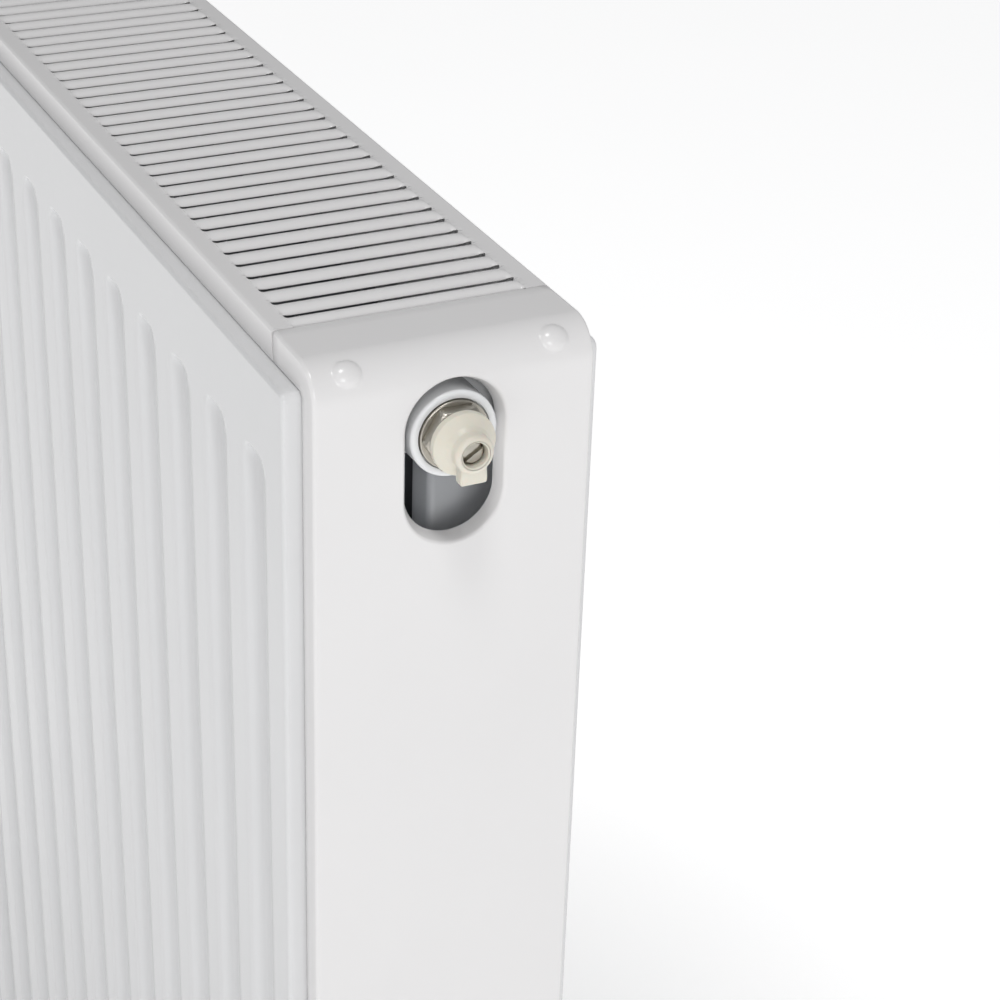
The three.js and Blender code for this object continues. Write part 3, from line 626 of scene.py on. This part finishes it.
def nickel_plate():
    """Nickel plate on turned brass: rings round the axis at about every 0.3 mm, with faint stain and wear."""
    plate = Finish("nickel_plate", Metallic=1.0, IOR=1.8)
    axis = (0, MIDDLE_Y * MM, TAPPING_TOP * MM)
    spot = plate.node("ShaderNodeVectorMath", {"operation": "SUBTRACT"}, {0: plate.place(), 1: axis})
    flat = plate.node("ShaderNodeVectorMath", {"operation": "MULTIPLY"}, {0: spot, 1: (0, 1, 1)})
    radius = plate.node("ShaderNodeVectorMath", {"operation": "LENGTH"}, {0: flat}, output=1)
    turning = radius * TURNING_RINGS + plate.noise(160.0) * 4.0
    rings = plate.node("ShaderNodeMath", {"operation": "SINE"}, {0: turning})
    stained = tuple(NICKEL_STAIN * c for c in NICKEL_TINT)
    plate.feed("Base Color", plate.between(plate.noise(240.0, 4.0), stained, NICKEL_TINT))
    plate.feed("Roughness", 0.24 + 0.16 * plate.noise(300.0, 3.0))
    plate.feed("Normal", plate.raised(rings + 0.8 * plate.noise(2200.0, 3.0), TURNING_HEIGHT))
    return plate.material


def hex_turned(profile, flats, height, count=144):
    """Turns a profile (along, radius, 1 if hexagonal) about the tapping's axis.

    A hexagonal radius is cut down to flats / 2 divided by the cosine of the angle from the nearest flat.
    """
    angle = np.linspace(0, 2 * math.pi, count + 1)
    flat_side = flats / 2 / np.cos((angle + math.pi / 6) % (math.pi / 3) - math.pi / 6)
    angle = angle + math.pi / 2
    along, radius, hexagonal = (profile[:, i: i + 1] for i in range(3))
    reach = np.where(hexagonal > 0.5, np.minimum(radius, flat_side), radius)
    across = np.broadcast_to(MIDDLE_X + along, reach.shape)
    return np.stack([across, MIDDLE_Y + reach * np.cos(angle), height + reach * np.sin(angle)], -1)


def plain(line):
    """Adds a third column of zeros to (along, radius) points."""
    return np.hstack([line, np.zeros((len(line), 1))])


shank = thread(GROOVE_END - 0.3, SHANK_END + 0.4, SHANK_R, 0.6)[::-1]
flange = rounded([(GROOVE_END, GROOVE_R, 0), (FLANGE_IN, GROOVE_R, 0.3), (FLANGE_IN, FLANGE_R, 0.25),
                  (FLANGE_OUT, FLANGE_R, 0.45), (FLANGE_OUT, 9.0, 0)], 4)[1:]
plug_back = np.vstack([[(SHANK_END, SHANK_TIP_R)], shank, [(GROOVE_END, SHANK_R - 0.2), (GROOVE_END, GROOVE_R)],
                       flange])
hex_side = np.array([(FLANGE_OUT, 9.3, 1), (FLANGE_OUT + 0.15, 10.2, 1), (FLANGE_OUT + 0.6, HEX_CORNER_R, 1),
                     (HEX_FACE - 1.0, HEX_CORNER_R, 1), (HEX_FACE - 0.55, 10.5, 1), (HEX_FACE - 0.12, 9.7, 1),
                     (HEX_FACE, 9.45, 1), (HEX_FACE, 8.6, 1)])
neck = rounded([(HEX_FACE, 8.6, 0), (HEX_FACE, NECK_R, 0.3), (NECK_END, NECK_R, 0.3), (NECK_END, STEM_BORE_R, 0.2),
                (STEM_BORE_END, STEM_BORE_R, 0), (STEM_BORE_END, WATERWAY_R, 0), (SHANK_END, WATERWAY_R, 0),
                (SHANK_END, SHANK_TIP_R, 0)], 4)[1:]
profile = np.vstack([plain(plug_back), hex_side, plain(neck)])
nickel = nickel_plate()
piece = skin("vent_body", [hex_turned(profile, HEX_FLATS, TAPPING_TOP)], crisp=28)
piece.data.materials.append(nickel)
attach(piece, "radiator")
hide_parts("vent_plug")


def seal_ring(along, radius, section):
    """A round ring: (along + section cos b, radius + section sin b) turned about the tapping's axis."""
    b = np.linspace(0, 2 * math.pi, 17)
    return lathed(np.stack([along + section * np.cos(b), radius + section * np.sin(b)], -1), TAPPING_TOP, 72)


rubber = Finish("seal_rubber", IOR=1.5)
rubber.feed("Base Color", rubber.between(rubber.noise(300.0), (0.012, 0.012, 0.012), (0.028, 0.027, 0.026)))
rubber.feed("Roughness", 0.55 + 0.2 * rubber.noise(900.0))
plug_seal = seal_ring((GROOVE_END + FLANGE_IN) / 2, PLUG_SEAL_R, PLUG_SEAL_SECTION)
piece = skin("vent_ring", [plug_seal])
piece.data.materials.append(rubber.material)
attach(piece, "radiator")
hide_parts("vent_plug_seal")

# ---------- vent outlet ----------
# A moulded cream outlet turns freely on the plug's neck, so its short spout can be pointed down when bleeding.
# The spout stands out as a flat-ended lug on the side of the nose; the middle is open for the key.
OUTLET_BASE, OUTLET_TIP = 303.7, 314.0
OUTLET_R, OUTLET_BORE_R, NOSE_R = 10.1, 5.5, 6.2
RECESS_R, RECESS_FLOOR = 4.0, 310.9
SPOUT_HALF, SPOUT_REACH, SPOUT_SPREAD = 4.7, 10.2, 1.3
SPOUT_IN, SPOUT_RAMP, SPOUT_SOFT, SPOUT_FILLET = 309.2, 2.4, 0.8, 0.5
CREAM_DARK, CREAM_LIGHT = (0.74, 0.70, 0.60), (0.82, 0.79, 0.69)

line = rounded([(OUTLET_BASE, OUTLET_BORE_R, 0), (OUTLET_BASE, OUTLET_R, 0.35), (306.1, OUTLET_R, 0.55),
                (308.7, 7.2, 2.0), (310.2, NOSE_R, 1.2), (OUTLET_TIP, NOSE_R, 1.5), (OUTLET_TIP, RECESS_R, 0.6),
                (RECESS_FLOOR, RECESS_R, 0), (RECESS_FLOOR, OUTLET_BORE_R, 0), (OUTLET_BASE, OUTLET_BORE_R, 0)], 6)
finer = np.arange(0, len(line) - 0.75, 0.25)
line = np.stack([np.interp(finer, np.arange(len(line)), column) for column in line.T], -1)
angle = np.linspace(0, 2 * math.pi, 217)


def spout_reach(off_down):
    """How far the spout's outline reaches at an angle from straight down.

    It is the soft smaller of side / sin and end / cos: with softness s, -s log(exp(-p / s) + exp(-q / s)).
    The sides spread a little towards the nose.
    """
    side = SPOUT_HALF * (0.80 + 0.22 * np.cos(off_down) ** 3) / np.maximum(np.sin(off_down), 1e-6)
    end = SPOUT_REACH / np.maximum(np.cos(off_down), 1e-6)
    limits = [np.where(off_down < SPOUT_SPREAD, limit, 0).clip(0, 40) for limit in (side, end)]
    return -SPOUT_SOFT * np.log(sum(np.exp(-limit / SPOUT_SOFT) for limit in limits))


# The spout joins the round nose over a fillet: (bulk + lug + sqrt(gap^2 + f)) / 2, less its share inside the nose.
spout = np.maximum(spout_reach(np.abs((angle - 1.5 * math.pi + math.pi) % (2 * math.pi) - math.pi)), 0)
along, bulk = line[:, :1], np.broadcast_to(line[:, 1:], (len(line), len(angle)))
near_tip = np.clip((OUTLET_TIP - along) / 1.3, 0, 1) ** 0.5
lug = spout * smooth_step(np.clip((along - SPOUT_IN + SPOUT_RAMP) / 3.0, 0, 1) * near_tip)
gap = lug - bulk
short = gap.clip(None, 0)
joined = (bulk + lug + np.sqrt(gap ** 2 + SPOUT_FILLET)) / 2
joined = joined - 0.5 * (np.sqrt(SPOUT_FILLET + short ** 2) - np.abs(short))
reach = np.where((along > SPOUT_IN - SPOUT_RAMP) & (line[:, 1:] > NOSE_R - 1.32), joined, bulk)
across = np.broadcast_to(MIDDLE_X + along, reach.shape)
outlet = np.stack([across, MIDDLE_Y + reach * np.cos(angle), TAPPING_TOP + reach * np.sin(angle)], -1)

cream = Finish("outlet_plastic", IOR=1.46, Subsurface_Weight=0.12, Subsurface_Scale=0.002)
cream.feed("Base Color", cream.between(cream.noise(90.0, 3.0), CREAM_DARK, CREAM_LIGHT))
cream.feed("Roughness", 0.30 + 0.14 * cream.noise(400.0, 3.0))
cream.feed("Normal", cream.raised(cream.noise(700.0), 0.00001))
piece = skin("cream_outlet", [outlet], crisp=50)
piece.data.materials.append(cream.material)
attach(piece, "outlet")
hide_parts("vent_outlet")

# ---------- bleed screw and its seal ----------
# Inside the outlet sits the bleed screw, turned from the same plated brass, with a sawn slot for a key or a coin.
# A small rubber ring in its waist keeps the water out of the neck.
SCREW_R, SCREW_FACE, SCREW_EDGE = 3.4, 311.8, 0.3
SCREW_SEAL, WAIST_R, WAIST_HALF = SCREW_FACE - 6, 2.1, 0.9
STEM_R, STEM_END, NEEDLE_R, NEEDLE_TIP = 3.0, 293.0, 1.6, 290.5
SCREW_SEAL_R, SCREW_SEAL_SECTION = 2.92, 0.52
SLOT_WIDE, SLOT_DEEP, SLOT_LEAN = 1.3, 1.4, math.radians(-32)

across = np.unique(np.concatenate([np.linspace(-1, 1, 33), np.linspace(-0.24, 0.24, 33)]))
u, w = np.meshgrid(across, across)
side, rise = SCREW_R * u * np.sqrt(1 - w * w / 2), SCREW_R * w * np.sqrt(1 - u * u / 2)
off_slot = side * math.sin(SLOT_LEAN) + rise * math.cos(SLOT_LEAN)
sawn = 1 - smooth_step((np.abs(off_slot) - SLOT_WIDE / 2) / 0.12 + 0.5)
drop = SCREW_EDGE * np.clip((np.hypot(side, rise) / SCREW_R - 0.9) / 0.1, 0, 1) ** 2
face = MIDDLE_X + SCREW_FACE - np.maximum(sawn * SLOT_DEEP, drop)
head = np.stack([face, MIDDLE_Y + side, TAPPING_TOP + rise], -1)
axis = np.array([MIDDLE_Y, TAPPING_TOP])
stem = rounded([(SCREW_FACE - 1.6, SCREW_R, 0), (SCREW_SEAL + WAIST_HALF, SCREW_R, 0.2),
                (SCREW_SEAL + WAIST_HALF, WAIST_R, 0), (SCREW_SEAL - WAIST_HALF, WAIST_R, 0),
                (SCREW_SEAL - WAIST_HALF, STEM_R, 0.1), (STEM_END, STEM_R, 0.1), (STEM_END, NEEDLE_R, 0),
                (NEEDLE_TIP, 0, 0)], 3)
wall = np.empty((len(stem) + 1, len(outline(head)), 3))
wall[0] = outline(head)
wall[1:, :, 0] = MIDDLE_X + stem[:, :1]
wall[1:, :, 1:] = axis + (outline(head)[:, 1:] - axis) * (stem[:, 1] / SCREW_R)[:, None, None]
piece = skin("slotted_screw", [head[::-1], wall], crisp=60)
piece.data.materials.append(nickel)
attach(piece, "screw")
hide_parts("bleed_screw")

piece = skin("screw_ring", [seal_ring(SCREW_SEAL, SCREW_SEAL_R, SCREW_SEAL_SECTION)])
piece.data.materials.append(rubber.material)
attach(piece, "screw_seal")
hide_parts("bleed_screw_seal")

# ---------- blanking plug and its seal ----------
# The unused top left tapping is closed with a plain plug of the same make, tightened with a 12 mm hexagon key.
# It has the same thread, flange and rubber ring as the vent plug.
KEY_FLATS, KEY_CORNER_R, KEY_DEPTH = 12.0, 6.93, 6.0
KEY_BOSS_R, KEY_BOSS_FACE = 8.0, 299.9

front = rounded([(FLANGE_OUT, 9.0, 0), (FLANGE_OUT, KEY_BOSS_R, 0.15), (KEY_BOSS_FACE, KEY_BOSS_R, 0.3),
                 (KEY_BOSS_FACE, 7.3, 0)], 4)[1:]
bottom = KEY_BOSS_FACE - 0.5 - KEY_DEPTH
socket = np.array([(KEY_BOSS_FACE, 7.1, 1), (KEY_BOSS_FACE - 0.35, KEY_CORNER_R, 1), (bottom, KEY_CORNER_R, 1),
                   (bottom - 1.2, 0, 1)])
profile = np.vstack([[(SHANK_END, 0, 0)], plain(plug_back), plain(front), socket])
piece = skin("end_plug", [turned_round(hex_turned(profile, KEY_FLATS, TAPPING_TOP))], crisp=28)
piece.data.materials.append(nickel)
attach(piece, "radiator")
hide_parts("blanking_plug")

piece = skin("end_plug_ring", [turned_round(plug_seal)])
piece.data.materials.append(rubber.material)
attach(piece, "radiator")
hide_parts("blanking_plug_seal")

# ---------- floor, light and camera ----------
# A pale seamless floor that glows as painted light, dimmer near the radiator as painted shade, under plain soft light.
# The strongest light comes from the vent end, low and wide.
# The camera looks down on the top right corner from the vent end with a long lens.
FLOOR_HALF = 12.0
GLOW_START, GLOW_RISE = 0.15, 3.0
NEAR_GLOW, FAR_GLOW = (0.24, 0.24, 0.24), (0.62, 0.62, 0.62)
ROOM_TINT, ROOM_LIGHT = (0.985, 0.99, 1.0, 1), 0.30
CAMERA_AT = (0.8879, -0.2865, 0.9085)
RIGHT = Vector((0.432978, 0.900929, 0.029269))
UP = Vector((-0.441524, 0.183660, 0.878251))
BACK = Vector((0.785867, -0.393186, 0.477303))
LENS, SENSOR = 90.708, 36.0

floor_mesh = bpy.data.meshes.new("floor")
corners = [(FLOOR_HALF * x, FLOOR_HALF * y, 0) for x, y in ((-1, -1), (1, -1), (1, 1), (-1, 1))]
floor_mesh.from_pydata(corners, [], [(0, 1, 2, 3)])
floor = bpy.data.objects.new("floor", floor_mesh)
bpy.context.scene.collection.objects.link(floor)
floor_glow = Finish("floor_painted_glow", Roughness=0.9, Emission_Strength=1.0)
# Painted light: the floor glows, dim near the radiator as painted shade and brighter farther out.
far = floor_glow.node("ShaderNodeVectorMath", {"operation": "LENGTH"}, {0: floor_glow.place()}, output=1)
floor_glow.feed("Emission Color", floor_glow.between(floor_glow.clamped(far - GLOW_START, GLOW_RISE), NEAR_GLOW, FAR_GLOW))
floor_glow.feed("Base Color", floor_glow.between(floor_glow.noise(3.0), (0.90, 0.90, 0.90), (0.93, 0.93, 0.93)))
floor_mesh.materials.append(floor_glow.material)

room = bpy.data.worlds.new("studio")
room.use_nodes = True
background = room.node_tree.nodes["Background"]
background.inputs[0].default_value = ROOM_TINT
background.inputs[1].default_value = ROOM_LIGHT
bpy.context.scene.world = room

for name, spot, aim, wide, high, power in (
    ("end soft box", (1.75, -0.35, 1.05), (0.25, 0, 0.45), 0.5, 0.5, 5.6),
    ("front soft box", (0.1, -2.2, 1.6), (0, 0, 0.4), 0.6, 0.4, 3.9),
    ("overhead soft box", (0.75, -0.25, 2.3), (0.1, 0, 0.55), 0.35, 0.3, 10.0),
):
    lamp = bpy.data.lights.new(name, "AREA")
    lamp.shape = "RECTANGLE"
    lamp.size, lamp.size_y, lamp.energy = wide, high, power
    holder = bpy.data.objects.new(name, lamp)
    holder.location = spot
    holder.rotation_euler = (Vector(aim) - Vector(spot)).to_track_quat("-Z", "Y").to_euler()
    bpy.context.scene.collection.objects.link(holder)

view_camera = bpy.data.cameras.new("camera")
view_camera.lens, view_camera.sensor_width = LENS, SENSOR
camera = bpy.data.objects.new("camera", view_camera)
camera.matrix_world = Matrix.Translation(CAMERA_AT) @ Matrix((RIGHT, UP, BACK)).transposed().to_4x4()
bpy.context.scene.collection.objects.link(camera)
bpy.context.scene.camera = camera
bpy.context.scene.view_settings.view_transform = "Standard"
